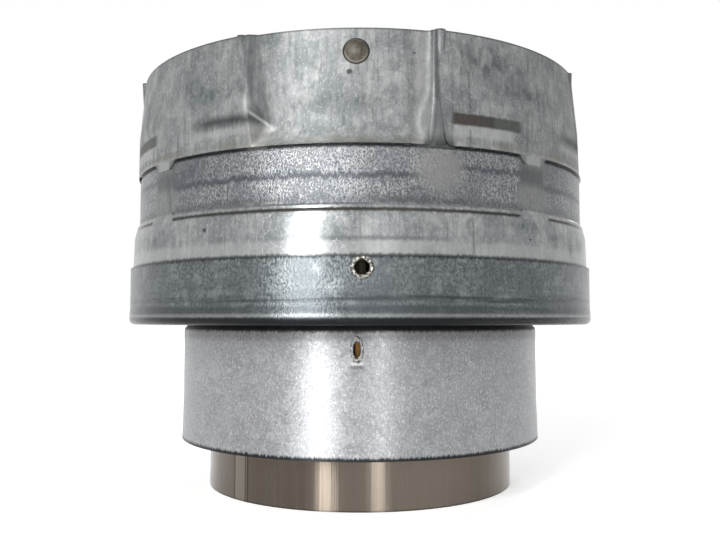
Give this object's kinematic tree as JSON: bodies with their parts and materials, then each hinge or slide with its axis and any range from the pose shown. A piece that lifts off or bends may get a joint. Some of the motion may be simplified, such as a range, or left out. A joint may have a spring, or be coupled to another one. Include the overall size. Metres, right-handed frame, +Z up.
{
  "type": "pellet vent adapter",
  "caption": "Round twin-wall pellet stove vent adapter: a galvanised stove collar and steel liner foot step up through a base cap to a wider stamped twist-lock end with an inner liner socket.",
  "frame": {"origin": "on the axis, in the plane of the flue liner's foot, which is the lowest point as the adapter stands", "axes": "+Z up along the vent's axis towards the twist-lock end, -Y towards the front rivet and screw holes, +X to their right"},
  "size_m": [0.116, 0.1163, 0.0984],
  "materials": {
    "galvanised_sheet": "hot-dip galvanised sheet, smooth with a soft spangle, scuffed rough on the gripped band",
    "galvanised_cap": "galvanised sheet drawn over a punch, rough and blue-grey",
    "galvanised_collar": "galvanised sheet, smooth with a fine spangle",
    "stainless_liner": "bright rolled stainless steel",
    "clip_steel": "plain stainless strip",
    "rivet_steel": "dull steel, slightly warm in tone"
  },
  "bodies": {
    "root": {"outer_wall": "galvanised_sheet", "base_cap": "galvanised_cap", "stove_collar": "galvanised_collar", "flue_liner": "stainless_liner", "liner_reducer": "stainless_liner", "clip_front": "clip_steel", "clip_right": "clip_steel", "clip_back": "clip_steel", "clip_left": "clip_steel", "rivet_front": "rivet_steel", "rivet_right": "rivet_steel", "rivet_back": "rivet_steel", "rivet_left": "rivet_steel"}
  },
  "joints": []
}
